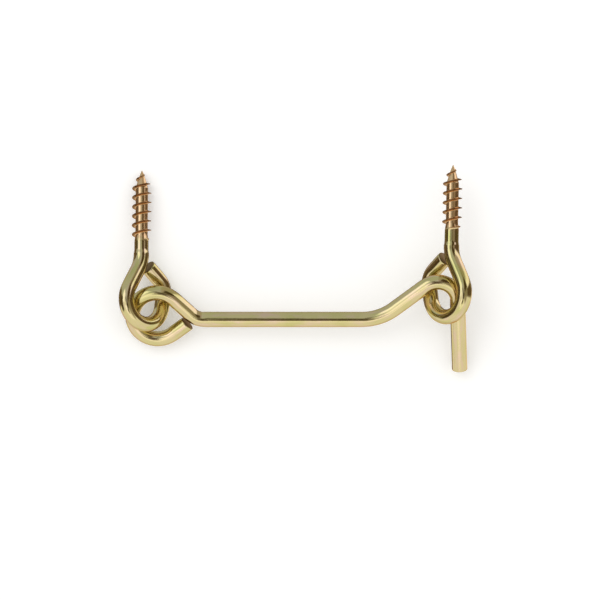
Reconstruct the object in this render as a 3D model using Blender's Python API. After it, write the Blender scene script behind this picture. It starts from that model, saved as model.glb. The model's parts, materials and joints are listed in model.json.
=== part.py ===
"""Hook and eye latch, bent from round steel wire.

Three loose pieces, linked but not fastened to each other:
  hinge_screw_eye  the screw eye that the hook's closed loop hangs on
  hook             one wire: bill, top bend, diagonal, rod and closed loop
  catch_screw_eye  the screw eye that the bill drops into

Each piece lies in a plane of its own and is described there by straight runs
and bends, as a wire bender is set. Metres, +Z up, the latch lying on z = 0.
"""
import math

import bmesh
import bpy
import numpy as np
from mathutils import Matrix, Vector

MM = 0.001

# Wire, and the shank that is drawn down from it before the thread is rolled
WIRE_DIAMETER = 4.5 * MM
SHANK_DIAMETER = 4.1 * MM
SHANK_TAPER_LENGTH = 1.4 * MM

# Hook, in its own plane: x along the rod towards the bill, y up the bill
HOOK_LENGTH = 100.0 * MM
BILL_LENGTH = 22.0 * MM
BILL_LEAN = math.radians(1.7)
BILL_CHAMFER = 0.3 * MM
TOP_BEND_INNER_RADIUS = 3.4 * MM
DIAGONAL_LENGTH = 11.8 * MM
DIAGONAL_RISE = math.radians(38.0)
ELBOW_INNER_RADIUS = 13.0 * MM
LOOP_INNER_DIAMETER = 9.9 * MM
LOOP_STRAND_LENGTH = 6.8 * MM
LOOP_STRAND_RISE = math.radians(44.5)
LOOP_SHOULDER_INNER_RADIUS = 3.0 * MM
LOOP_CLOSING_RISE = math.radians(37.5)

# Screw eye, in its own plane: u across the ring, v towards the screw's point
EYE_INNER_DIAMETER = 9.0 * MM
HINGE_EYE_LENGTH = 47.9 * MM
CATCH_EYE_LENGTH = 46.6 * MM
EYE_NECK_LEAN = math.radians(30.3)
EYE_NECK_INNER_RADIUS = 6.6 * MM
EYE_SHANK_OFFSET = 1.2 * MM
EYE_SIDE_LEAN = math.radians(10.5)
EYE_SIDE_LENGTH = 3.9 * MM
EYE_SHOULDER_INNER_RADIUS = 2.3 * MM
EYE_END_LEAN = math.radians(53.0)

# Wood-screw thread, right-handed, with a gimlet point
HINGE_EYE_THREAD_LENGTH = 21.4 * MM
CATCH_EYE_THREAD_LENGTH = 19.4 * MM
THREAD_PITCH = 2.77 * MM
THREAD_DIAMETER = 5.7 * MM
THREAD_CORE_DIAMETER = 3.6 * MM
THREAD_CREST_WIDTH = 0.2 * MM
THREAD_BASE_WIDTH = 1.0 * MM
THREAD_RUN_OUT = 2.4 * MM
POINT_LENGTH = 5.4 * MM
POINT_FULLNESS = 0.8
TURNS_LEFT_BARE = 1.2
HINGE_EYE_THREAD_START = math.radians(134.0)
CATCH_EYE_THREAD_START = math.radians(-37.0)

# Clearances
CUT_END_CLEARANCE = 0.5 * MM

# How the pieces lie: tilts of each piece's plane, and where the rings link
HOOK_TILT = math.radians(21.3)
HOOK_CANT = math.radians(2.0)
HINGE_EYE_TILT = math.radians(42.0)
HINGE_EYE_DIP = math.radians(11.2)
HINGE_EYE_FROM_LOOP = (-3.72 * MM, 4.3 * MM)
HINGE_EYE_RISE = 2.4 * MM
CATCH_EYE_TILT = math.radians(46.0)
CATCH_EYE_DIP = math.radians(5.1)
CATCH_EYE_ROLL = math.radians(-1.4)
CATCH_EYE_FROM_BEND = (2.0 * MM, 1.9 * MM)
CATCH_EYE_RISE = 1.65 * MM

# Catch eye's swing on the top bend: off the ring's centre along v, leaning from the ring's normal
CATCH_PIVOT_FROM_RING = 1.1 * MM
CATCH_AXIS_LEAN = math.radians(20.0)

# Facets
WIRE_SIDES = 24
BEND_STEP = math.radians(7.5)
SHARP_ANGLE = math.radians(35.0)

# Finish: yellow-passivated zinc on steel
HOOK_COLOUR = (0.62, 0.55, 0.27)
HINGE_EYE_COLOUR = (0.55, 0.53, 0.25)
CATCH_EYE_COLOUR = (0.58, 0.50, 0.25)
ROUGHNESS = 0.28
METALLIC = 1.0

WIRE_RADIUS = WIRE_DIAMETER / 2
SHANK_RADIUS = SHANK_DIAMETER / 2


def unit(angle):
    """Direction in a piece's plane at an angle from its first axis."""
    return np.array([math.cos(angle), math.sin(angle)])


class WirePath:
    """Centreline of a bent wire: stations of point, heading and radius, laid out run by run."""

    def __init__(self, start, heading, radius):
        self.point = np.array(start, dtype=float)
        self.heading = heading
        self.radius = radius
        self.stations = [(self.point.copy(), heading, radius)]

    def run(self, length, radius=None):
        """Feed a straight length of wire, tapering to a new radius if one is given."""
        self.point = self.point + length * unit(self.heading)
        self.radius = radius or self.radius
        self.stations.append((self.point.copy(), self.heading, self.radius))

    def bend(self, radius, turn):
        """Bend the wire on a centreline radius; a positive turn goes left."""
        side = math.copysign(1.0, turn)
        centre = self.point + side * radius * unit(self.heading + math.pi / 2)
        count = max(2, math.ceil(abs(turn) / BEND_STEP))
        first = self.heading
        for step in range(1, count + 1):
            self.heading = first + turn * step / count
            self.point = centre - side * radius * unit(self.heading + math.pi / 2)
            self.stations.append((self.point.copy(), self.heading, self.radius))
        return centre

    def run_to_face(self, line_point, line_angle, clearance):
        """Feed straight until the end, cut along the line's direction, clears the wire on that line."""
        across = unit(line_angle + math.pi / 2)
        distance = float(np.dot(line_point - self.point, across))
        closing = float(np.dot(unit(self.heading), across))
        stop = distance - math.copysign(WIRE_RADIUS + clearance, distance)
        self.run(stop / closing)


def hook_path():
    """Centreline from the bill's end to the loop's cut end, with the loop's centre and top bend's centre."""
    top_radius = TOP_BEND_INNER_RADIUS + WIRE_RADIUS
    loop_radius = LOOP_INNER_DIAMETER / 2 + WIRE_RADIUS
    bill_heading = math.pi / 2 + BILL_LEAN

    def lay(rod_length):
        path = WirePath((0.0, 0.0), bill_heading, WIRE_RADIUS)
        path.run(BILL_LENGTH)
        top_centre = path.bend(top_radius, math.pi + DIAGONAL_RISE - bill_heading)
        path.run(DIAGONAL_LENGTH)
        path.bend(ELBOW_INNER_RADIUS + WIRE_RADIUS, -DIAGONAL_RISE)
        path.run(rod_length)
        path.bend(LOOP_SHOULDER_INNER_RADIUS + WIRE_RADIUS, -LOOP_STRAND_RISE)
        strand_start = path.point.copy()
        strand_angle = path.heading
        path.run(LOOP_STRAND_LENGTH)
        loop_centre = path.bend(loop_radius, math.pi + LOOP_STRAND_RISE + LOOP_CLOSING_RISE)
        path.run_to_face(strand_start, strand_angle, CUT_END_CLEARANCE)
        return path, loop_centre, top_centre, strand_angle

    _, loop_centre, top_centre, _ = lay(0.0)
    without_rod = top_centre[0] + top_radius - loop_centre[0] + loop_radius + WIRE_DIAMETER
    path, loop_centre, top_centre, strand_angle = lay(HOOK_LENGTH - without_rod)
    for point, _, _ in path.stations:
        point -= loop_centre
    return path, top_centre - loop_centre, strand_angle


def eye_path(length, thread_length):
    """Centreline of the bare wire from the thread's end round the ring, the neck's angle and the foot's v.

    The origin is the ring's centre. The shank swells to the full wire before it
    leans into the neck. The neck meets the ring on its tangent, and the wire's
    cut end closes the ring against the neck.
    """
    ring_radius = EYE_INNER_DIAMETER / 2 + WIRE_RADIUS
    touch = ring_radius * unit(math.pi - EYE_NECK_LEAN)
    neck_length = (-EYE_SHANK_OFFSET - touch[0]) / math.sin(EYE_NECK_LEAN)
    corner_v = touch[1] + neck_length * math.cos(EYE_NECK_LEAN)
    neck_radius = EYE_NECK_INNER_RADIUS + WIRE_RADIUS
    setback = neck_radius * math.tan(EYE_NECK_LEAN / 2)
    foot_v = length - ring_radius - WIRE_RADIUS - thread_length

    path = WirePath((-EYE_SHANK_OFFSET, foot_v), -math.pi / 2, SHANK_RADIUS)
    path.run(foot_v - corner_v - setback - SHANK_TAPER_LENGTH)
    path.run(SHANK_TAPER_LENGTH, WIRE_RADIUS)
    path.bend(neck_radius, -EYE_NECK_LEAN)
    path.run(neck_length - setback)
    path.bend(ring_radius, math.pi + EYE_NECK_LEAN - EYE_SIDE_LEAN)
    path.run(EYE_SIDE_LENGTH)
    path.bend(EYE_SHOULDER_INNER_RADIUS + WIRE_RADIUS, EYE_SIDE_LEAN + EYE_END_LEAN)
    neck_angle = math.pi / 2 - EYE_NECK_LEAN
    path.run_to_face(touch, neck_angle, CUT_END_CLEARANCE)
    return path, neck_angle, foot_v


def ring_of_points(point, heading, radius, first_angle, cut_angle=None):
    """One round section of the wire; a cut angle slants it to lie along that direction."""
    along = unit(heading)
    across = unit(heading + math.pi / 2)
    slant = 0.0
    if cut_angle is not None:
        normal = unit(cut_angle + math.pi / 2)
        slant = -float(np.dot(across, normal)) / float(np.dot(along, normal))
    corners = []
    for side in range(WIRE_SIDES):
        angle = 2 * math.pi * side / WIRE_SIDES + first_angle
        offset = radius * math.sin(angle)
        place = point + offset * across + offset * slant * along
        corners.append((place[0], place[1], radius * math.cos(angle)))
    return corners


def sweep_wire(mesh, stations, ring, first_angle, cut_angle):
    """Carry the round section on from a ring along the stations, and close the slanted cut end."""
    for point, heading, radius in stations[:-1]:
        corners = ring_of_points(point, heading, radius, first_angle)
        ring = join_rings(mesh, ring, [mesh.verts.new(corner) for corner in corners])
    point, heading, radius = stations[-1]
    corners = ring_of_points(point, heading, radius, first_angle, cut_angle)
    ring = join_rings(mesh, ring, [mesh.verts.new(corner) for corner in corners])
    mesh.faces.new(ring)


def join_rings(mesh, lower, upper):
    """Quads between two rings with the same number of corners; returns the upper one."""
    count = len(lower)
    for side in range(count):
        after = (side + 1) % count
        mesh.faces.new((lower[side], lower[after], upper[after], upper[side]))
    return upper


def smooth_step(value):
    """0 below 0, 1 above 1 and an S-curve between."""
    value = min(max(value, 0.0), 1.0)
    return value * value * (3.0 - 2.0 * value)


def core_radius(height, length):
    """Radius at the root of a thread of the given length, from the bare shank to the point."""
    core = THREAD_CORE_DIAMETER / 2
    from_shank = smooth_step(height / THREAD_RUN_OUT)
    to_point = min(max((length - height) / POINT_LENGTH, 0.0), 1.0) ** POINT_FULLNESS
    return (SHANK_RADIUS + (core - SHANK_RADIUS) * from_shank) * to_point


def thread_depth(height, length):
    """Height of the ridge over the core, fading out on the shank and at the point."""
    full = (THREAD_DIAMETER - THREAD_CORE_DIAMETER) / 2
    fade_in = smooth_step(height / THREAD_RUN_OUT)
    fade_out = smooth_step((length - height) / (POINT_FULLNESS * POINT_LENGTH))
    return full * fade_in * fade_out


def screw_thread(mesh, foot_v, length, start):
    """Threaded end as one helical strip, from the shank's last ring to the point.

    Each row of the strip follows the helix, so the ridge keeps its edge. The
    strip's upper side in one turn is its lower side in the next. Returns the
    ring that the bare wire is carried on from.
    """
    base = THREAD_BASE_WIDTH / THREAD_PITCH / 2
    crest = THREAD_CREST_WIDTH / THREAD_PITCH / 2
    profile = ((0.0, 0.0), (0.5 - base, 0.0), (0.5 - crest, 1.0), (0.5 + crest, 1.0), (0.5 + base, 0.0))
    rows = len(profile)
    steps = int((length / THREAD_PITCH - TURNS_LEFT_BARE) * WIRE_SIDES)

    def corner(step, row):
        share, ridge = profile[row]
        height = THREAD_PITCH * (step / WIRE_SIDES + share)
        radius = core_radius(height, length) + ridge * thread_depth(height, length)
        angle = 2 * math.pi * step / WIRE_SIDES + start
        across = radius * math.sin(angle)
        return mesh.verts.new((across - EYE_SHANK_OFFSET, foot_v + height, radius * math.cos(angle)))

    strip = [[corner(step, row) for row in range(rows)] for step in range(steps + 1)]
    over = [corner(step, 0) for step in range(steps + 1, steps + WIRE_SIDES + 1)]

    def vertex(step, row):
        if row == rows:
            step += WIRE_SIDES
            row = 0
        if step > steps:
            return over[step - steps - 1]
        return strip[step][row]

    for step in range(steps):
        for row in range(rows):
            after = step + 1
            above = row + 1
            mesh.faces.new((vertex(step, row), vertex(after, row), vertex(after, above), vertex(step, above)))

    tip = mesh.verts.new((-EYE_SHANK_OFFSET, foot_v + length, 0.0))
    rim = [vertex(steps, row) for row in range(rows + 1)]
    rim += [vertex(step, 0) for step in range(steps + WIRE_SIDES - 1, steps, -1)]
    for index, here in enumerate(rim):
        mesh.faces.new((here, rim[(index + 1) % len(rim)], tip))

    foot = np.array((-EYE_SHANK_OFFSET, foot_v - 0.1 * THREAD_PITCH))
    ring = [mesh.verts.new(corner) for corner in ring_of_points(foot, -math.pi / 2, SHANK_RADIUS, start)]
    for side in range(WIRE_SIDES - 1):
        mesh.faces.new((ring[side], ring[side + 1], vertex(side + 1, 0), vertex(side, 0)))
    end_of_strip = [vertex(0, row) for row in range(rows + 1)]
    mesh.faces.new([ring[-1], ring[0]] + end_of_strip + [vertex(WIRE_SIDES - 1, 0)])
    return ring


def finish_object(name, mesh, colour):
    """Turn a bmesh into a named object with the zinc finish in its own shade."""
    bmesh.ops.recalc_face_normals(mesh, faces=mesh.faces)
    if mesh.calc_volume(signed=True) < 0.0:
        bmesh.ops.reverse_faces(mesh, faces=mesh.faces)
    data = bpy.data.meshes.new(name)
    mesh.to_mesh(data)
    mesh.free()
    data.shade_smooth()
    data.set_sharp_from_angle(angle=SHARP_ANGLE)
    material = bpy.data.materials.new(name + "_yellow_zinc")
    material.use_nodes = True
    shader = material.node_tree.nodes["Principled BSDF"]
    shader.inputs["Base Color"].default_value = (*colour, 1.0)
    shader.inputs["Roughness"].default_value = ROUGHNESS
    shader.inputs["Metallic"].default_value = METALLIC
    data.materials.append(material)
    piece = bpy.data.objects.new(name, data)
    bpy.context.scene.collection.objects.link(piece)
    return piece


def build_hook(path, strand_angle):
    """The hook's wire, from the chamfered bill to the cut end that closes the loop."""
    mesh = bmesh.new()
    point, heading, _ = path.stations[0]
    tip = ring_of_points(point, heading, WIRE_RADIUS - BILL_CHAMFER, 0.0)
    shoulder = ring_of_points(point + BILL_CHAMFER * unit(heading), heading, WIRE_RADIUS, 0.0)
    tip = [mesh.verts.new(corner) for corner in tip]
    mesh.faces.new(tip)
    ring = join_rings(mesh, tip, [mesh.verts.new(corner) for corner in shoulder])
    sweep_wire(mesh, path.stations[1:], ring, 0.0, strand_angle)
    return finish_object("hook", mesh, HOOK_COLOUR)


def build_eye(name, length, thread_length, thread_start, colour):
    """A screw eye: gimlet point and thread, shank, neck and ring, closed by the cut end at the neck."""
    path, neck_angle, foot_v = eye_path(length, thread_length)
    mesh = bmesh.new()
    ring = screw_thread(mesh, foot_v, thread_length, thread_start)
    sweep_wire(mesh, path.stations[1:], ring, thread_start, neck_angle)
    return finish_object(name, mesh, colour), path


def turned(*turns):
    """Rotation matrix from (angle, axis) pairs, the first one applied last."""
    matrix = Matrix.Identity(3)
    for angle, axis in turns:
        matrix = matrix @ Matrix.Rotation(angle, 3, axis)
    return matrix


def centreline(path, frame, place):
    """Closely spaced points of a wire's centreline, where the piece lies."""
    flat = np.array([point for point, _, _ in path.stations])
    lengths = np.linalg.norm(np.diff(flat, axis=0), axis=1)
    travel = np.concatenate(([0.0], np.cumsum(lengths)))
    stops = np.linspace(0.0, travel[-1], int(travel[-1] / (0.1 * WIRE_DIAMETER)))
    local = np.zeros((len(stops), 3))
    local[:, 0] = np.interp(stops, travel, flat[:, 0])
    local[:, 1] = np.interp(stops, travel, flat[:, 1])
    return local @ np.array(frame).T + np.array(place)


def height_in_link(still, moving, rise):
    """Height near the given rise at which one wire clears the other most evenly, above and below."""
    reach = 0.5 * WIRE_DIAMETER
    best = (0.0, rise)
    for height in np.linspace(rise - reach, rise + reach, 81):
        shifted = moving + np.array((0.0, 0.0, height))
        gaps = np.linalg.norm(shifted[:, None, :] - still[None, :, :], axis=2)
        best = max(best, (float(gaps.min()), float(height)))
    return best[1]


def world_matrix(frame, place):
    """4x4 matrix of a frame set at a place."""
    return Matrix.Translation(Vector(place)) @ frame.to_4x4()


def pivot(name, matrix):
    """An empty on a joint's axis, its own Z along the axis."""
    empty = bpy.data.objects.new(name, None)
    empty.empty_display_size = 2 * WIRE_DIAMETER
    bpy.context.scene.collection.objects.link(empty)
    empty.matrix_world = matrix
    return empty


def hang(child, parent, parent_matrix, matrix):
    """Parent a piece to another, keeping its own place."""
    child.parent = parent
    child.matrix_parent_inverse = Matrix.Identity(4)
    child.matrix_basis = parent_matrix.inverted() @ matrix


def main():
    for old in list(bpy.data.objects):
        bpy.data.objects.remove(old, do_unlink=True)

    hook_line, top_centre, strand_angle = hook_path()
    hook = build_hook(hook_line, strand_angle)
    hinge_eye, hinge_line = build_eye("hinge_screw_eye", HINGE_EYE_LENGTH, HINGE_EYE_THREAD_LENGTH,
                                      HINGE_EYE_THREAD_START, HINGE_EYE_COLOUR)
    catch_eye, catch_line = build_eye("catch_screw_eye", CATCH_EYE_LENGTH, CATCH_EYE_THREAD_LENGTH,
                                      CATCH_EYE_THREAD_START, CATCH_EYE_COLOUR)

    hook_frame = turned((-HOOK_CANT, "Y"), (HOOK_TILT, "X"))
    hinge_frame = turned((-HINGE_EYE_DIP, "X"), (HINGE_EYE_TILT, "Y"))
    catch_frame = turned((CATCH_EYE_ROLL, "Z"), (-CATCH_EYE_DIP, "X"), (math.pi - CATCH_EYE_TILT, "Y"))

    loop_centre = Vector((0.0, 0.0, 0.0))
    bend_centre = hook_frame @ Vector((top_centre[0], top_centre[1], 0.0))
    hook_wire = centreline(hook_line, hook_frame, loop_centre)
    hinge_place = Vector((*HINGE_EYE_FROM_LOOP, 0.0))
    hinge_wire = centreline(hinge_line, hinge_frame, hinge_place)
    hinge_place.z = height_in_link(hook_wire, hinge_wire, HINGE_EYE_RISE)
    catch_place = Vector((*CATCH_EYE_FROM_BEND, 0.0)) + Vector((bend_centre.x, bend_centre.y, 0.0))
    catch_wire = centreline(catch_line, catch_frame, catch_place)
    catch_place.z = height_in_link(hook_wire, catch_wire, bend_centre.z + CATCH_EYE_RISE)

    frames = {hook: (hook_frame, loop_centre), hinge_eye: (hinge_frame, hinge_place),
              catch_eye: (catch_frame, catch_place)}
    corners = [frame @ vertex.co + place for piece, (frame, place) in frames.items()
               for vertex in piece.data.vertices]
    low = Vector(min(corner[axis] for corner in corners) for axis in range(3))
    high = Vector(max(corner[axis] for corner in corners) for axis in range(3))
    on_ground = -Vector(((low.x + high.x) / 2, (low.y + high.y) / 2, low.z))

    hook_matrix = world_matrix(hook_frame, loop_centre + on_ground)
    hinge_matrix = world_matrix(hinge_frame, hinge_place + on_ground)
    catch_matrix = world_matrix(catch_frame, catch_place + on_ground)
    catch_axis_matrix = (catch_matrix @ Matrix.Translation((0.0, CATCH_PIVOT_FROM_RING, 0.0))
                         @ Matrix.Rotation(CATCH_AXIS_LEAN, 4, "X"))

    hinge_eye.matrix_world = hinge_matrix
    hook_swing_axis = pivot("hook_swing_axis", hook_matrix)
    hang(hook_swing_axis, hinge_eye, hinge_matrix, hook_matrix)
    hang(hook, hook_swing_axis, hook_matrix, hook_matrix)
    catch_swing_axis = pivot("catch_swing_axis", catch_axis_matrix)
    hang(catch_swing_axis, hook, hook_matrix, catch_axis_matrix)
    hang(catch_eye, catch_swing_axis, catch_axis_matrix, catch_matrix)


main()
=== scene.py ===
"""Looks of a hook and eye latch: three bent steel wires, zinc plated and yellow passivated.

Each wire is one closed surface over two parameters, the arc length along its centreline and
the angle round its section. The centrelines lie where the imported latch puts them.
"""

import json
import math

import bpy
import numpy as np
from bpy.props import FloatProperty, FloatVectorProperty, PointerProperty
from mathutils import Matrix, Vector


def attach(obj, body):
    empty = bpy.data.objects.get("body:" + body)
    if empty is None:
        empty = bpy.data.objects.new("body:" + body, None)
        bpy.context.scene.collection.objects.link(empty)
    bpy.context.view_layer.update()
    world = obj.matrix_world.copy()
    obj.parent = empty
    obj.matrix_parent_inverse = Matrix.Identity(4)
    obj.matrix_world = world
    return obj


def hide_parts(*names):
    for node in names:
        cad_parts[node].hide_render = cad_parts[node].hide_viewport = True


bl_info = {
    "name": "Hook and Eye Latch",
    "version": (1, 0, 0),
    "blender": (4, 5, 0),
    "location": "3D View > Sidebar > Latch",
    "description": "Bent wires, zinc finishes and studio of a hook and eye latch",
    "category": "Object",
}

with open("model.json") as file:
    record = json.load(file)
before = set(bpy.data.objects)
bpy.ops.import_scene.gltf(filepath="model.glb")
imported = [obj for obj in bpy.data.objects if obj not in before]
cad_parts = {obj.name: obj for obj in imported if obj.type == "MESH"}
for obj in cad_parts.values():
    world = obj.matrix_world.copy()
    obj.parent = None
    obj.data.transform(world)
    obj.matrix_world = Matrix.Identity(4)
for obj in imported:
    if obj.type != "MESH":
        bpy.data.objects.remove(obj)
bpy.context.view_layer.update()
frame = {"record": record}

MM = 0.001

# How finely the surfaces are drawn
TRACE_STEP = 0.02 * MM
WIRE_ROWS = 0.3 * MM
THREAD_ROWS = 0.05 * MM
TIP_ROWS = np.linspace(0.004, 0.1, 6) * MM
SIDES = 112
ROW_MARGIN = 0.1 * MM
LAST_RING = 0.06

# How a drawn, bent, rolled and sheared wire differs from a true one
BEND_SQUEEZE = 0.08
WIRE_UNEVENNESS = 0.012 * MM
THREAD_UNEVENNESS = 0.04
WAVE_LENGTHS = (31.0 * MM, 13.0 * MM, 7.0 * MM)
WAVE_PEAK = 2.2
CUT_REACH = 2.2 * MM
SHEARED_BAND = 0.2 * MM
POINT_BULGE = 0.8
POINT_FADE = 0.8
FILM_SPREAD = 0.3

# Random draws of each wire's unevenness
HOOK_SEED = 11
HINGE_EYE_SEED = 23
CATCH_EYE_SEED = 37

# Sizes of the patterns in the film and the plating
DRIFT = 9.0 * MM
BLOTCH = 1.6 * MM
DRAWN_LINE = 0.16 * MM
GRAIN = 0.45 * MM

# Studio; the card softness is in degrees
IMAGE_WIDTH = 600
PIXELS_PER_MM = 3.4066
CAMERA_HEIGHT = 1.2
CAMERA_X = 1.46 * MM
CAMERA_Y = -9.12 * MM
FLOOR_REACH = 4.0
FLOOR_DEPTH = 0.05 * MM
SEEN_LIFT = 0.22
WORLD_LIGHT = 0.85
CARD_SOFTNESS = 7.0


def linear(code):
    """Linear RGB of an sRGB hex colour."""
    parts = np.array([int(code[place:place + 2], 16) for place in (1, 3, 5)]) / 255
    low = parts / 12.92
    high = ((parts + 0.055) / 1.055) ** 2.4
    return tuple(float(part) for part in np.where(parts <= 0.04045, low, high))


def size(name, description, millimetres):
    """A length property, given in millimetres."""
    return FloatProperty(name=name, description=description, default=millimetres * MM,
                         min=0.0, precision=5, unit="LENGTH")


def angle(name, description, degrees):
    """An angle property, given in degrees."""
    return FloatProperty(name=name, description=description, default=math.radians(degrees), unit="ROTATION")


def colour(name, description, code):
    """A colour property, given as an sRGB hex value."""
    return FloatVectorProperty(name=name, description=description, default=linear(code),
                               min=0.0, max=1.0, size=3, subtype="COLOR")


class LatchWire(bpy.types.PropertyGroup):
    """Sizes shared by the three wires."""

    diameter: size("Diameter", "Diameter of the drawn wire", 4.5)
    shank: size("Shank", "Diameter that an eye's shank is drawn down to", 4.1)
    taper: size("Taper", "Length over which the shank swells to the full wire", 1.4)
    ease: size("Ease", "Half the length over which the wire eases into a bend", 0.9)
    cut_gap: size("Cut gap", "Gap between a cut end and the strand that it closes on", 0.5)
    rim: size("Rim", "Radius rolled over by the shear at a cut end", 0.35)


class LatchHook(bpy.types.PropertyGroup):
    """Sizes of the hook, in the order that the wire runs from the bill to the loop."""

    length: size("Length", "Overall length in the hook's plane", 100.0)
    bill: size("Bill", "Straight length of the bill", 22.0)
    bill_lean: angle("Bill lean", "Lean of the bill out of square with the rod", 1.7)
    bill_chamfer: size("Bill chamfer", "Chamfer round the bill's end", 0.3)
    top_radius: size("Top bend", "Inner radius of the bend over the bill", 3.4)
    diagonal: size("Diagonal", "Straight length between the top bend and the elbow", 11.8)
    diagonal_rise: angle("Diagonal rise", "Slope of the diagonal to the rod", 38.0)
    elbow_radius: size("Elbow", "Inner radius of the elbow", 13.0)
    shoulder_radius: size("Shoulder", "Inner radius where the rod turns into the loop", 3.0)
    strand: size("Strand", "Straight length between the shoulder and the loop", 6.8)
    strand_rise: angle("Strand rise", "Slope of the strand to the rod", 44.5)
    loop: size("Loop", "Inner diameter of the loop", 9.9)
    closing_rise: angle("Closing rise", "Slope of the loop's cut end to the rod", 37.5)


class LatchEye(bpy.types.PropertyGroup):
    """Sizes of a screw eye, in the order that the wire runs from the point to the ring."""

    hinge_length: size("Hinge eye length", "Overall length of the hinge eye", 47.9)
    catch_length: size("Catch eye length", "Overall length of the catch eye", 46.6)
    ring: size("Ring", "Inner diameter of the ring", 9.0)
    shank_offset: size("Shank offset", "Distance of the shank from the ring's middle", 1.2)
    neck_radius: size("Neck", "Inner radius where the shank leans into the neck", 6.6)
    neck_lean: angle("Neck lean", "Slope of the neck to the shank", 30.3)
    side_lean: angle("Side lean", "Slope of the ring's straight side to the shank", 10.5)
    side: size("Side", "Length of the ring's straight side", 3.9)
    shoulder_radius: size("Shoulder", "Inner radius of the ring's shoulder", 2.3)
    end_lean: angle("End lean", "Slope of the ring's cut end to the shank", 53.0)
    hinge_tilt: angle("Hinge eye tilt", "Tilt of the hinge eye's plane about its shank", 42.0)


class LatchThread(bpy.types.PropertyGroup):
    """Sizes of the rolled wood thread and its gimlet point."""

    hinge_length: size("Hinge eye thread", "Length from the point to the bare shank", 21.4)
    catch_length: size("Catch eye thread", "Length from the point to the bare shank", 19.4)
    pitch: size("Pitch", "Distance from crest to crest", 2.77)
    diameter: size("Diameter", "Diameter over the crests", 5.7)
    core: size("Core", "Diameter at the roots", 3.6)
    crest: size("Crest", "Width of the rounded crest", 0.12)
    base: size("Base", "Width of the ridge at its root", 0.8)
    run_out: size("Run-out", "Length over which the thread fades into the shank", 2.4)
    point: size("Point", "Length of the gimlet point", 5.4)
    hinge_start: angle("Hinge eye start", "Turn of the hinge eye's thread about its axis", 134.0)
    catch_start: angle("Catch eye start", "Turn of the catch eye's thread about its axis", -37.0)


class LatchFinish(bpy.types.PropertyGroup):
    """Colours of the plating, the passivation and the stage."""

    gold: colour("Gold", "Yellow passivation where the film is even", "#D5C68F")
    green: colour("Green", "Yellow passivation where the film is thick", "#C2BE73")
    peach: colour("Peach", "Yellow passivation where the film is thin", "#DDC0A6")
    edge: colour("Edge", "Tint of the film at a grazing angle", "#FFE3C8")
    copper: colour("Copper", "Film on the core of the rolled thread", "#E2BF90")
    # Painted shade: this dark brown on the thread's ridges stands in for the shadow under each ridge and the
    # dark reflections on its flanks.
    ridge: colour("Ridge", "Film gathered on the flanks of the rolled thread", "#86623F")
    # Bare steel of a sheared face, partly painted shade: darkened to brown for the shaded gap where a cut end
    # meets its strand.
    bare: colour("Bare", "Plating on a sheared face", "#857358")
    floor: colour("Floor", "Floor of the studio", "#F7F6F4")


def broken_line(heading, moves):
    """Knots of a wire's heading over its arc length, from (length, turn) moves."""
    lengths, turns = np.array(moves).T
    knots = np.concatenate(([0.0], np.cumsum(lengths)))
    return knots, heading + np.concatenate(([0.0], np.cumsum(turns)))


def trace(start, heading, moves, ease):
    """Centreline of a wire that is bent in one plane, from (length, turn) moves.

    The heading over arc length is a broken line, level on a run and sloped on a bend. It is
    averaged over a short window, since a real wire eases into a bend, and the points are the
    running sum of its direction.
    """
    knots, headings = broken_line(heading, moves)
    travel = np.linspace(0.0, knots[-1], int(knots[-1] / TRACE_STEP) + 2)
    window = ease * np.linspace(-1.0, 1.0, 11)
    eased = np.interp(travel[:, None] + window, knots, headings).mean(axis=1)
    direction = np.stack((np.cos(eased), np.sin(eased)), axis=1)
    strides = 0.5 * (direction[1:] + direction[:-1]) * travel[1]
    points = np.array(start) + np.concatenate((np.zeros((1, 2)), np.cumsum(strides, axis=0)))
    return travel, points, eased


def point_at(line, place):
    """Point and heading of a traced centreline at an arc length."""
    travel, points, headings = line
    spot = np.array([np.interp(place, travel, points[:, axis]) for axis in (0, 1)])
    return spot, float(np.interp(place, travel, headings))


def unit(turn):
    """Direction in a piece's plane at an angle from its first axis."""
    return np.array([math.cos(turn), math.sin(turn)])


def run_to_strand(line, strand_point, strand_angle, reach):
    """Straight length that the wire's end still runs until it is within reach of a strand."""
    spot, heading = point_at(line, line[0][-1])
    across = unit(strand_angle + math.pi / 2)
    distance = float(np.dot(strand_point - spot, across))
    return (distance - math.copysign(reach, distance)) / float(np.dot(unit(heading), across))


def hook_line(wire, hook):
    """Centreline of the hook about the loop's centre, and the direction of its cut."""
    radius = wire.diameter / 2
    top = hook.top_radius + radius
    elbow = hook.elbow_radius + radius
    shoulder = hook.shoulder_radius + radius
    loop = hook.loop / 2 + radius
    over = math.pi / 2 + hook.diagonal_rise - hook.bill_lean
    round_loop = math.pi + hook.strand_rise + hook.closing_rise

    def moves(rod):
        return [(hook.bill, 0.0), (top * over, over), (hook.diagonal, 0.0),
                (elbow * hook.diagonal_rise, -hook.diagonal_rise), (rod, 0.0),
                (shoulder * hook.strand_rise, -hook.strand_rise), (hook.strand, 0.0),
                (loop * round_loop, round_loop)]

    heading = math.pi / 2 + hook.bill_lean
    bare = trace((0.0, 0.0), heading, moves(0.0), wire.ease)
    rod = hook.length - wire.diameter / 2 - np.ptp(bare[1][:, 0]) - wire.diameter / 2
    runs = moves(rod)
    knots, _ = broken_line(heading, runs)
    line = trace((0.0, 0.0), heading, runs, wire.ease)
    centre, turned = point_at(line, (knots[-1] + knots[-2]) / 2)
    centre = centre + loop * unit(turned + math.pi / 2)
    strand_point, strand_angle = point_at(line, (knots[-2] + knots[-3]) / 2)
    runs.append((run_to_strand(line, strand_point, strand_angle, radius + wire.cut_gap), 0.0))
    return trace(-centre, heading, runs, wire.ease), strand_angle


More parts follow.
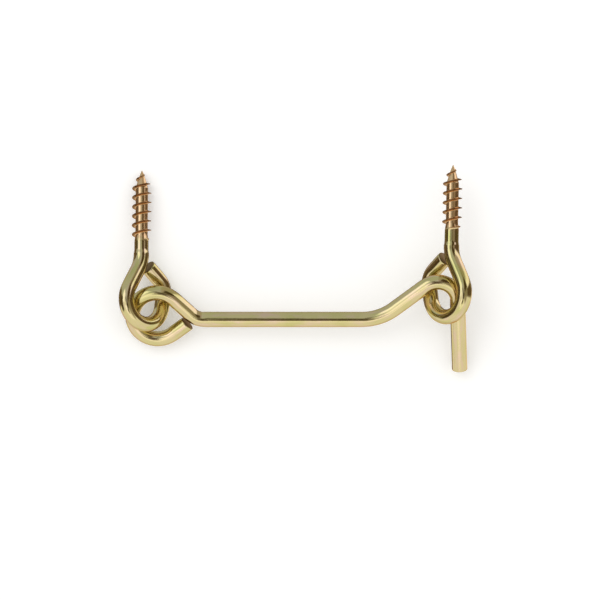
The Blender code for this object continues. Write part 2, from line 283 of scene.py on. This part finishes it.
def eye_line(wire, eye, length):
    """Centreline of a screw eye about the ring's centre, from the point to the ring's cut end.

    The neck's angle and the arc length at which the shank ends come with it.
    """
    radius = wire.diameter / 2
    ring = eye.ring / 2 + radius
    neck = eye.neck_radius + radius
    shoulder = eye.shoulder_radius + radius
    touch = ring * unit(math.pi - eye.neck_lean)
    neck_length = (-eye.shank_offset - touch[0]) / math.sin(eye.neck_lean)
    corner = touch[1] + neck_length * math.cos(eye.neck_lean)
    setback = neck * math.tan(eye.neck_lean / 2)
    tip = length - ring - radius
    round_ring = math.pi + eye.neck_lean - eye.side_lean
    to_end = eye.side_lean + eye.end_lean
    runs = [(tip - corner - setback, 0.0), (neck * eye.neck_lean, -eye.neck_lean),
            (neck_length - setback, 0.0), (ring * round_ring, round_ring), (eye.side, 0.0),
            (shoulder * to_end, to_end)]
    start = (-eye.shank_offset, tip)
    neck_angle = math.pi / 2 - eye.neck_lean
    line = trace(start, -math.pi / 2, runs, wire.ease)
    runs.append((run_to_strand(line, touch, neck_angle, radius + wire.cut_gap), 0.0))
    return trace(start, -math.pi / 2, runs, wire.ease), neck_angle, runs[0][0]


def smooth_step(value):
    """0 below 0, 1 above 1 and an S-curve between."""
    value = np.clip(value, 0.0, 1.0)
    return value * value * (3.0 - 2.0 * value)


def unevenness(travel, turn, seed):
    """Slow waves of a drawn and bent wire, between about -1 and 1, periodic round the section."""
    waves = np.zeros(np.broadcast_shapes(travel.shape, turn.shape))
    random = np.random.default_rng(seed)
    for lobes in (1, 2, 3, 5):
        for length in WAVE_LENGTHS:
            swing = 2 * math.pi * travel / (length * random.uniform(0.8, 1.2))
            waves += np.sin(swing + lobes * turn + random.uniform(0.0, 2 * math.pi)) / (lobes + 2)
    return waves / WAVE_PEAK


def end_rows(radius, rim, rings=9):
    """Setback and radius of the rows that close a wire's end, from its side to near its middle.

    A quarter circle rolls the rim over, then the rows step evenly across the face.
    """
    roll = np.linspace(0.0, math.pi / 2, 7)
    inward = np.linspace(1.0, LAST_RING, rings)[1:] * (radius - rim)
    setback = np.concatenate((rim * (1 - np.sin(roll)), np.zeros(len(inward))))
    return setback, np.concatenate((radius - rim * (1 - np.cos(roll)), inward))


def wire_surface(line, rows, radii, cut=None):
    """Points of a wire over rows of arc length and columns of angle round the section.

    A point is the centreline at its arc length, plus its radius across the wire. With a cut,
    the arc length is advanced by the point's offset times the cut's slope, so that the last
    rows lie in a plane along the cut's direction.
    """
    travel, points, headings = line
    turn = np.linspace(-math.pi, math.pi, SIDES, endpoint=False)
    offset = radii * np.sin(turn)
    place = np.repeat(rows[:, None], SIDES, axis=1)
    if cut is not None:
        slope = 1.0 / math.tan(cut - float(headings[-1]))
        blend = smooth_step((rows - travel[-1]) / CUT_REACH + 1.0)
        place = place + slope * offset * blend[:, None]
    inside = np.clip(place, 0.0, travel[-1])
    heading = np.interp(inside, travel, headings)
    beyond = place - inside
    x = np.interp(inside, travel, points[:, 0]) + beyond * np.cos(heading) - offset * np.sin(heading)
    y = np.interp(inside, travel, points[:, 1]) + beyond * np.sin(heading) + offset * np.cos(heading)
    z = radii * np.cos(turn)
    unbent = np.stack((offset, z, place), axis=2)
    return np.stack((x, y, z), axis=2), unbent


def closed_mesh(name, grid, layers, axes, place):
    """Mesh of a grid of rows round a wire, closed by a fan to a point at each end.

    The grid is in the piece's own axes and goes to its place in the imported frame. Layers are
    named values for each grid point, kept as attributes for the materials.
    """
    count, sides, _ = grid.shape
    flat = grid.reshape(-1, 3)
    poles = np.stack((grid[0].mean(axis=0), grid[-1].mean(axis=0)))
    points = np.concatenate((flat, poles)) @ np.array(axes) + np.array(place)
    row = np.arange(count - 1)[:, None] * sides
    here = np.arange(sides)
    after = (here + 1) % sides
    quads = np.stack((row + here, row + sides + here, row + sides + after, row + after), axis=2)
    last = (count - 1) * sides
    first_fan = np.stack((here, after, np.full(sides, len(flat))), axis=1)
    last_fan = np.stack((last + after, last + here, np.full(sides, len(flat) + 1)), axis=1)
    mesh = bpy.data.meshes.new(name)
    faces = quads.reshape(-1, 4).tolist() + first_fan.tolist() + last_fan.tolist()
    mesh.from_pydata(points.tolist(), [], faces)
    for key, values in layers.items():
        depth = values.shape[2] if values.ndim == 3 else 1
        kind = "FLOAT_VECTOR" if depth == 3 else "FLOAT"
        field = "vector" if depth == 3 else "value"
        rows = values.reshape(count * sides, depth)
        ends = np.stack([end.reshape(sides, depth).mean(axis=0) for end in (values[0], values[-1])])
        attribute = mesh.attributes.new(key, kind, "POINT")
        attribute.data.foreach_set(field, np.concatenate((rows, ends)).astype(np.float32).ravel())
    mesh.shade_smooth()
    mesh.validate()
    piece = bpy.data.objects.new(name, mesh)
    bpy.context.scene.collection.objects.link(piece)
    return piece


def swell(line, rows, wire):
    """Share by which a bend squeezes the section in its plane, at each row."""
    travel, _, headings = line
    bend = np.abs(np.gradient(headings, travel))
    return BEND_SQUEEZE * wire.diameter / 2 * np.interp(rows, travel, bend)[:, None]


def bare_radii(line, rows, turn, wire, seed, radius):
    """Radius of the bare wire: round, squeezed to an oval in a bend, and slightly uneven."""
    squeeze = swell(line, rows, wire)
    oval = squeeze * (0.5 * np.cos(turn) ** 2 - np.sin(turn) ** 2)
    uneven = WIRE_UNEVENNESS * unevenness(rows[:, None], turn, seed)
    return radius * (1.0 + oval) + uneven


def thread_relief(height, turn, thread, length, start):
    """Share of the ridge's full height, and how far it has faded, at each height and angle.

    The phase is the height in pitches less the turn. The ridge has a round crest and round
    roots, and it fades out on the shank and on the point.
    """
    phase = np.mod(height / thread.pitch - (turn - start) / (2 * math.pi), 1.0)
    from_crest = np.abs(phase - 0.5) * thread.pitch
    ridge = 1.0 - smooth_step((from_crest - thread.crest / 2) / ((thread.base - thread.crest) / 2))
    to_tip = (length - height) / (POINT_FADE * thread.point)
    fade = smooth_step(height / thread.run_out) * smooth_step(to_tip)
    return ridge, fade


def thread_radii(height, turn, wire, thread, length, start, seed):
    """Radius of the threaded end, which is the core, tapering to the point, plus the ridge.

    The ridge's share of its full height comes with it.
    """
    core = wire.shank / 2 + (thread.core - wire.shank) / 2 * smooth_step(height / thread.run_out)
    taper = np.clip((length - height) / thread.point, 0.0, 1.0) ** POINT_BULGE
    ridge, fade = thread_relief(height, turn, thread, length, start)
    rolled = 1.0 + THREAD_UNEVENNESS * unevenness(height, turn, seed)
    return core * taper + ridge * fade * rolled * (thread.diameter - thread.core) / 2, ridge * fade


def sheared_share(rows, total):
    """1 on the sheared face at the wire's end, falling to 0 over a narrow band on its side."""
    return smooth_step((rows - total + SHEARED_BAND) / SHEARED_BAND)[:, None] * np.ones(SIDES)


def build_hook(scene):
    """The hook's surface, from the chamfered bill to the cut end of the loop."""
    wire, hook = scene.latch_wire, scene.latch_hook
    line, cut = hook_line(wire, hook)
    total = line[0][-1]
    radius = wire.diameter / 2
    turn = np.linspace(-math.pi, math.pi, SIDES, endpoint=False)
    bill_back, bill_radii = end_rows(radius, hook.bill_chamfer)
    end_back, end_radii = end_rows(radius, wire.rim)
    body = np.arange(hook.bill_chamfer + ROW_MARGIN, total - wire.rim - ROW_MARGIN, WIRE_ROWS)
    rows = np.concatenate((bill_back[::-1], body, total - end_back))
    shape = bare_radii(line, rows, turn, wire, HOOK_SEED, radius) / radius
    radii = np.concatenate((bill_radii[::-1], np.full(len(body), radius), end_radii))[:, None] * shape
    grid, unbent = wire_surface(line, rows, radii, cut)
    layers = {"unbent": unbent, "sheared": sheared_share(rows, total)}
    swing = joint("hook_swing")
    normal = Vector(swing["axis"]).normalized()
    along = Vector((0.0, 1.0, 0.0)).cross(normal).normalized()
    axes = (along, normal.cross(along), normal)
    return closed_mesh("zinc_hook", grid, layers, axes, swing["pos_m"])


def build_eye(scene, name, length, threaded, start, seed, axes, foot):
    """A screw eye's surface, from the gimlet point to the cut end of the ring."""
    wire, eye, thread = scene.latch_wire, scene.latch_eye, scene.latch_thread
    line, cut, shank_end = eye_line(wire, eye, length)
    total = line[0][-1]
    radius = wire.diameter / 2
    turn = np.linspace(-math.pi, math.pi, SIDES, endpoint=False)
    end_back, end_radii = end_rows(radius, wire.rim)
    rolled = np.arange(TIP_ROWS[-1] + THREAD_ROWS, threaded + 2 * ROW_MARGIN, THREAD_ROWS)
    body = np.arange(threaded + 4 * ROW_MARGIN, total - wire.rim - ROW_MARGIN, WIRE_ROWS)
    rows = np.concatenate((TIP_ROWS, rolled, body, total - end_back))
    height = (threaded - rows)[:, None]
    threads, relief = thread_radii(height, turn, wire, thread, threaded, start, seed)
    swollen = smooth_step((rows - shank_end + wire.taper) / wire.taper)[:, None]
    drawn = wire.shank / 2 + (radius - wire.shank / 2) * swollen
    bare = bare_radii(line, rows, turn, wire, seed, drawn)
    radii = np.where(height > 0.0, threads + bare - drawn, bare)
    radii[:len(TIP_ROWS)] = threads[:len(TIP_ROWS)]
    radii[-len(end_back):] *= end_radii[:, None] / radius
    grid, unbent = wire_surface(line, rows, radii, cut)
    layers = {
        "unbent": unbent,
        "sheared": sheared_share(rows, total),
        "threaded": smooth_step(height / thread.run_out + FILM_SPREAD) * np.ones(SIDES),
        "relief": relief,
    }
    foot_v = length - eye.ring / 2 - wire.diameter - threaded
    place = Vector(foot) + eye.shank_offset * axes[0] - foot_v * axes[1]
    return closed_mesh(name, grid, layers, axes, place)


def joint(name):
    """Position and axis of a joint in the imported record."""
    return next(entry for entry in frame["record"]["behaviour"]["joints"] if entry["name"] == name)


def mount(name):
    """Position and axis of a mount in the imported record."""
    return next(entry for entry in frame["record"]["mounts"] if entry["name"] == name)


def add_node(tree, kind, inputs=None, **settings):
    """Add one node: inputs maps its sockets to a value or to the socket that feeds them."""
    node = tree.nodes.new(kind)
    for key, value in settings.items():
        setattr(node, key, value)
    for key, value in (inputs or {}).items():
        if isinstance(value, bpy.types.NodeSocket):
            tree.links.new(value, node.inputs[key])
        else:
            node.inputs[key].default_value = value
    return node


def rgba(value):
    """A colour with full opacity."""
    return (*value, 1.0)


def yellow_zinc(name, finish, threaded):
    """Drawn steel wire, electroplated with zinc and dipped in yellow passivate.

    The plating mirrors the drawn wire under it, so reflections are clear but pulled into fine
    lines along the wire. The film's thickness drifts over a few millimetres, which shifts its
    colour from gold to green and peach, and it stays duller where the thread was rolled.
    """
    material = bpy.data.materials.new(name)
    material.use_nodes = True
    tree = material.node_tree
    tree.nodes.clear()
    unbent = add_node(tree, "ShaderNodeAttribute", attribute_name="unbent").outputs["Vector"]

    drift = add_node(tree, "ShaderNodeTexNoise",
                     {"Vector": unbent, "Scale": 1 / DRIFT, "Detail": 2.0, "Roughness": 0.55})
    streak = add_node(tree, "ShaderNodeMapping", {"Vector": unbent, "Scale": (1.0, 1.0, 0.22)})
    blotch = add_node(tree, "ShaderNodeTexNoise",
                      {"Vector": streak.outputs[0], "Scale": 1 / BLOTCH, "Detail": 4.0, "Roughness": 0.6})
    greenest = 0.85 if threaded else 0.5
    greener = add_node(tree, "ShaderNodeMapRange",
                       {"Value": drift.outputs["Fac"], "From Min": 0.43, "From Max": 0.63,
                        "To Max": greenest})
    pinker = add_node(tree, "ShaderNodeMapRange",
                      {"Value": blotch.outputs["Fac"], "From Min": 0.48, "From Max": 0.70, "To Max": 0.85})
    film = add_node(tree, "ShaderNodeMix",
                    {0: greener.outputs[0], 6: rgba(finish.gold), 7: rgba(finish.green)}, data_type="RGBA")
    film = add_node(tree, "ShaderNodeMix",
                    {0: pinker.outputs[0], 6: film.outputs[2], 7: rgba(finish.peach)}, data_type="RGBA")

    pulled = add_node(tree, "ShaderNodeMapping", {"Vector": unbent, "Scale": (1.0, 1.0, 0.02)})
    lines = add_node(tree, "ShaderNodeTexNoise",
                     {"Vector": pulled.outputs[0], "Scale": 1 / DRAWN_LINE, "Detail": 3.0, "Roughness": 0.7})
    grain = add_node(tree, "ShaderNodeTexNoise",
                     {"Vector": unbent, "Scale": 1 / GRAIN, "Detail": 5.0, "Roughness": 0.65})
    dull = add_node(tree, "ShaderNodeMapRange",
                    {"Value": grain.outputs["Fac"], "From Min": 0.35, "From Max": 0.7,
                     "To Min": 0.09, "To Max": 0.16})
    colour_out, rough_out = film.outputs[2], dull.outputs[0]

    # The sheared faces take the bare colour: bare steel, partly painted shade that darkens the cut ends in
    # their gaps.
    sheared = add_node(tree, "ShaderNodeAttribute", attribute_name="sheared").outputs["Fac"]
    colour_out = add_node(tree, "ShaderNodeMix", {0: sheared, 6: colour_out, 7: rgba(finish.bare)},
                          data_type="RGBA").outputs[2]
    rough_out = add_node(tree, "ShaderNodeMix", {0: sheared, 2: rough_out, 3: 0.42}).outputs[0]

    if threaded:
        relief = add_node(tree, "ShaderNodeAttribute", attribute_name="relief").outputs["Fac"]
        rolled = add_node(tree, "ShaderNodeAttribute", attribute_name="threaded").outputs["Fac"]
        # Painted shade: the ridge colour darkens the thread's flanks and crests, standing in for the shadow
        # under each ridge and its dark reflections.
        ridge_shade_share = add_node(tree, "ShaderNodeMapRange", {"Value": relief, "From Min": 0.05, "From Max": 0.5})
        copper = add_node(tree, "ShaderNodeMix",
                          {0: ridge_shade_share.outputs[0], 6: rgba(finish.copper), 7: rgba(finish.ridge)},
                          data_type="RGBA")
        colour_out = add_node(tree, "ShaderNodeMix", {0: rolled, 6: colour_out, 7: copper.outputs[2]},
                              data_type="RGBA").outputs[2]
        rough_out = add_node(tree, "ShaderNodeMix", {0: rolled, 2: rough_out, 3: 0.2}).outputs[0]

    drawn = add_node(tree, "ShaderNodeBump",
                     {"Height": lines.outputs["Fac"], "Strength": 0.35, "Distance": 0.006 * MM})
    pitted = add_node(tree, "ShaderNodeBump",
                      {"Height": grain.outputs["Fac"], "Strength": 0.3, "Distance": 0.02 * MM,
                       "Normal": drawn.outputs[0]})
    shader = add_node(tree, "ShaderNodeBsdfPrincipled",
                      {"Base Color": colour_out, "Roughness": rough_out, "Metallic": 1.0,
                       "Specular Tint": rgba(finish.edge), "Normal": pitted.outputs[0]})
    add_node(tree, "ShaderNodeOutputMaterial", {"Surface": shader.outputs[0]})
    return material


def softbox(name, place, width, height, share, shade):
    """Area light that faces the latch and gives a share of the light that the world gives."""
    light = bpy.data.lights.new(name, "AREA")
    light.shape = "RECTANGLE"
    light.size, light.size_y = width, height
    light.energy = share * math.pi * math.pi * Vector(place).length_squared
    light.color = shade
    lamp = bpy.data.objects.new(name, light)
    bpy.context.scene.collection.objects.link(lamp)
    lamp.location = place
    lamp.rotation_euler = Vector(place).to_track_quat("Z", "Y").to_euler()
    lamp.visible_glossy = False


def card_steps(limits, closed):
    """Grid lines across a card in radians, and how solid the card is at each of them.

    The card fades over a few degrees about a limit, except where it is closed, at a pole or
    where it meets itself.
    """
    half = CARD_SOFTNESS / 2
    inner = np.linspace(limits[0] + half, limits[1] - half, 25)
    steps = np.concatenate(([limits[0] - half], inner, [limits[1] + half]))
    solid = np.ones(len(steps))
    for end, limit, shut in zip((0, -1), limits, closed):
        if shut:
            steps[end] = limit
        else:
            solid[end] = 0.0
    return np.radians(steps), solid


def card_glow(name, tone):
    """Even glow of a tone that turns clear where the card fades."""
    material = bpy.data.materials.new(name)
    material.use_nodes = True
    tree = material.node_tree
    tree.nodes.clear()
    fade = add_node(tree, "ShaderNodeAttribute", attribute_name="solid")
    clear = add_node(tree, "ShaderNodeBsdfTransparent")
    glow = add_node(tree, "ShaderNodeEmission", {"Color": rgba(tone), "Strength": 1.0})
    card = add_node(tree, "ShaderNodeMixShader",
                    {0: fade.outputs["Fac"], 1: clear.outputs[0], 2: glow.outputs[0]})
    add_node(tree, "ShaderNodeOutputMaterial", {"Surface": card.outputs[0]})
    return material


def reflector(name, bearings, tilts, reach, tone):
    """Evenly lit studio card with soft edges that shows in the metal and lights nothing else.

    It is a patch of a sphere about the latch: a point is the reach times the direction with
    that bearing, counted from the rod's way round the upright, and that tilt from the upright.
    """
    full_turn = bearings[1] - bearings[0] == 360.0
    across, across_solid = card_steps(bearings, (full_turn, full_turn))
    down, down_solid = card_steps(tilts, (tilts[0] == 0.0, tilts[1] == 180.0))
    bearing, tilt = np.meshgrid(across, down)
    level = np.sin(tilt)
    grid = reach * np.stack((level * np.cos(bearing), level * np.sin(bearing), np.cos(tilt)), axis=2)
    rows, columns, _ = grid.shape
    corner = np.arange(rows - 1)[:, None] * columns + np.arange(columns - 1)
    quads = np.stack((corner, corner + columns, corner + columns + 1, corner + 1), axis=2)
    mesh = bpy.data.meshes.new(name)
    mesh.from_pydata(grid.reshape(-1, 3).tolist(), [], quads.reshape(-1, 4).tolist())
    solid = mesh.attributes.new("solid", "FLOAT", "POINT")
    solid.data.foreach_set("value", (down_solid[:, None] * across_solid).ravel())
    mesh.materials.append(card_glow(name, tone))
    patch = bpy.data.objects.new(name, mesh)
    bpy.context.scene.collection.objects.link(patch)
    patch.visible_camera = False
    patch.visible_diffuse = False
    patch.visible_shadow = False


def seen_directly(tree):
    """Socket that is 1 where the camera, metal or glass sees the surroundings, else 0."""
    path = add_node(tree, "ShaderNodeLightPath")
    seen = add_node(tree, "ShaderNodeMath",
                    {0: path.outputs["Is Camera Ray"], 1: path.outputs["Is Glossy Ray"]}, operation="MAXIMUM")
    return add_node(tree, "ShaderNodeMath", {0: seen.outputs[0], 1: path.outputs["Is Transmission Ray"]},
                    operation="MAXIMUM").outputs[0]


def paper(name, value):
    """Seamless white studio paper: matt and even, its white lifted a little where it is seen."""
    material = bpy.data.materials.new(name)
    material.use_nodes = True
    tree = material.node_tree
    shader = tree.nodes["Principled BSDF"]
    shader.inputs["Base Color"].default_value = rgba(value)
    shader.inputs["Roughness"].default_value = 0.9
    shader.inputs["Emission Color"].default_value = rgba(value)
    lift = add_node(tree, "ShaderNodeMath", {0: seen_directly(tree), 1: SEEN_LIFT}, operation="MULTIPLY")
    tree.links.new(lift.outputs[0], shader.inputs["Emission Strength"])
    return material


class LATCH_OT_stage(bpy.types.Operator):
    """Set up the camera, the floor, the white surroundings and the lights."""

    bl_idname = "latch.stage"
    bl_label = "Stage"

    def execute(self, context):
        scene = context.scene
        scene.view_settings.view_transform = "Standard"

        field = IMAGE_WIDTH / PIXELS_PER_MM * MM
        camera = bpy.data.objects.new("camera", bpy.data.cameras.new("camera"))
        camera.data.lens = camera.data.sensor_width * CAMERA_HEIGHT / field
        camera.location = (CAMERA_X, CAMERA_Y, CAMERA_HEIGHT)
        scene.collection.objects.link(camera)
        scene.camera = camera

        corners = [(FLOOR_REACH * x, FLOOR_REACH * y, 0.0) for x, y in ((-1, -1), (1, -1), (1, 1), (-1, 1))]
        mesh = bpy.data.meshes.new("floor")
        mesh.from_pydata(corners, [], [(0, 1, 2, 3)])
        mesh.materials.append(paper("white_paper", scene.latch_finish.floor))
        floor = bpy.data.objects.new("floor", mesh)
        floor.location.z = -FLOOR_DEPTH
        floor.visible_glossy = False
        scene.collection.objects.link(floor)

        world = bpy.data.worlds.new("studio")
        world.use_nodes = True
        tree = world.node_tree
        tree.nodes.clear()
        strength = add_node(tree, "ShaderNodeMapRange",
                            {"Value": seen_directly(tree), "To Min": WORLD_LIGHT, "To Max": 1.0})
        sky = add_node(tree, "ShaderNodeBackground",
                       {"Color": rgba((1.0, 1.0, 1.0)), "Strength": strength.outputs[0]})
        add_node(tree, "ShaderNodeOutputWorld", {"Surface": sky.outputs[0]})
        scene.world = world
        softbox("top_box", (-0.5, 0.5, 1.1), 0.8, 0.8, 0.15, (1.0, 1.0, 1.0))

        reflector("camera_shade", (0.0, 360.0), (0.0, 12.0), 0.70, (0.09, 0.07, 0.04))
        reflector("camera_body", (232.0, 288.0), (12.0, 24.0), 0.72, (0.18, 0.13, 0.08))
        reflector("near_wall", (-8.0, 30.0), (12.0, 50.0), 0.75, (0.34, 0.30, 0.24))
        reflector("dark_corner", (30.0, 72.0), (16.0, 58.0), 0.75, (0.08, 0.055, 0.02))
        reflector("dark_beam", (108.0, 134.0), (13.0, 24.0), 0.75, (0.12, 0.09, 0.05))
        reflector("dark_doorway", (-8.0, 24.0), (50.0, 124.0), 0.76, (0.13, 0.09, 0.05))
        reflector("dim_wall", (-8.0, 84.0), (12.0, 128.0), 0.80, (0.48, 0.44, 0.38))
        reflector("door", (24.0, 46.0), (58.0, 150.0), 0.74, (1.35, 1.30, 1.38))
        reflector("grey_wall", (70.0, 160.0), (12.0, 150.0), 0.85, (0.56, 0.60, 0.62))
        reflector("window", (128.0, 176.0), (34.0, 62.0), 0.80, (1.45, 1.50, 1.65))
        reflector("dark_shelf", (160.0, 206.0), (60.0, 92.0), 0.78, (0.09, 0.06, 0.03))
        reflector("dark_skirting", (154.0, 192.0), (90.0, 130.0), 0.77, (0.14, 0.10, 0.06))
        reflector("front_box", (192.0, 250.0), (15.0, 36.0), 0.88, (1.42, 1.40, 1.55))
        reflector("front_strip", (250.0, 306.0), (24.0, 46.0), 0.88, (1.24, 1.22, 1.30))
        reflector("front_screen", (318.0, 352.0), (12.0, 46.0), 0.86, (0.44, 0.40, 0.35))
        reflector("table_shade", (0.0, 200.0), (134.0, 180.0), 0.90, (0.14, 0.10, 0.06))
        reflector("front_table", (204.0, 344.0), (112.0, 180.0), 0.90, (0.80, 0.79, 0.77))
        return {"FINISHED"}


class LATCH_OT_hook(bpy.types.Operator):
    """Bend the hook and give it its finish."""

    bl_idname = "latch.hook"
    bl_label = "Hook"

    def execute(self, context):
        piece = build_hook(context.scene)
        piece.data.materials.append(yellow_zinc("yellow_zinc_hook", context.scene.latch_finish, False))
        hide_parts("hook")
        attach(piece, "hook")
        return {"FINISHED"}


class LATCH_OT_screw_eyes(bpy.types.Operator):
    """Bend both screw eyes, roll their threads and give them their finish."""

    bl_idname = "latch.screw_eyes"
    bl_label = "Screw eyes"

    def execute(self, context):
        scene = context.scene
        eye, thread = scene.latch_eye, scene.latch_thread
        finish = scene.latch_finish
        hinge = mount("hinge_eye_screw")
        shank = Vector(hinge["axis"]).normalized()
        level = Vector((1.0, 0.0, 0.0))
        face = level.cross(shank).normalized()
        tilt = eye.hinge_tilt
        across = math.cos(tilt) * level - math.sin(tilt) * face
        axes = (across, shank, across.cross(shank))
        piece = build_eye(scene, "zinc_hinge_eye", eye.hinge_length, thread.hinge_length,
                          thread.hinge_start, HINGE_EYE_SEED, axes, hinge["pos_m"])
        piece.data.materials.append(yellow_zinc("yellow_zinc_hinge_eye", finish, True))
        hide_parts("hinge_screw_eye")
        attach(piece, "hinge_eye")

        catch = mount("catch_eye_screw")
        shank = Vector(catch["axis"]).normalized()
        across = shank.cross(Vector(joint("catch_eye_swing")["axis"])).normalized()
        axes = (across, shank, across.cross(shank))
        piece = build_eye(scene, "zinc_catch_eye", eye.catch_length, thread.catch_length,
                          thread.catch_start, CATCH_EYE_SEED, axes, catch["pos_m"])
        piece.data.materials.append(yellow_zinc("yellow_zinc_catch_eye", finish, True))
        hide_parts("catch_screw_eye")
        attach(piece, "catch_eye")
        return {"FINISHED"}


class LATCH_PT_sidebar(bpy.types.Panel):
    """Lists the latch's sizes, colours and steps."""

    bl_label = "Hook and eye latch"
    bl_idname = "LATCH_PT_sidebar"
    bl_space_type = "VIEW_3D"
    bl_region_type = "UI"
    bl_category = "Latch"

    def draw(self, context):
        for operator in OPERATORS:
            self.layout.operator(operator.bl_idname)
        for key, group in GROUPS.items():
            box = self.layout.box()
            box.label(text=group.__name__)
            for name in group.__annotations__:
                box.prop(getattr(context.scene, key), name)


GROUPS = {"latch_wire": LatchWire, "latch_hook": LatchHook, "latch_eye": LatchEye,
          "latch_thread": LatchThread, "latch_finish": LatchFinish}
OPERATORS = (LATCH_OT_stage, LATCH_OT_hook, LATCH_OT_screw_eyes)


def register():
    """Register the classes and hang the sizes and colours on the scene."""
    for entry in (*GROUPS.values(), *OPERATORS, LATCH_PT_sidebar):
        bpy.utils.register_class(entry)
    for key, group in GROUPS.items():
        setattr(bpy.types.Scene, key, PointerProperty(type=group))


def unregister():
    """Undo register."""
    for key in GROUPS:
        delattr(bpy.types.Scene, key)
    for entry in reversed((*GROUPS.values(), *OPERATORS, LATCH_PT_sidebar)):
        bpy.utils.unregister_class(entry)


def main():
    """Build everything."""
    register()
    bpy.ops.latch.stage()
    bpy.ops.latch.hook()
    bpy.ops.latch.screw_eyes()


if __name__ == "__main__":
    main()
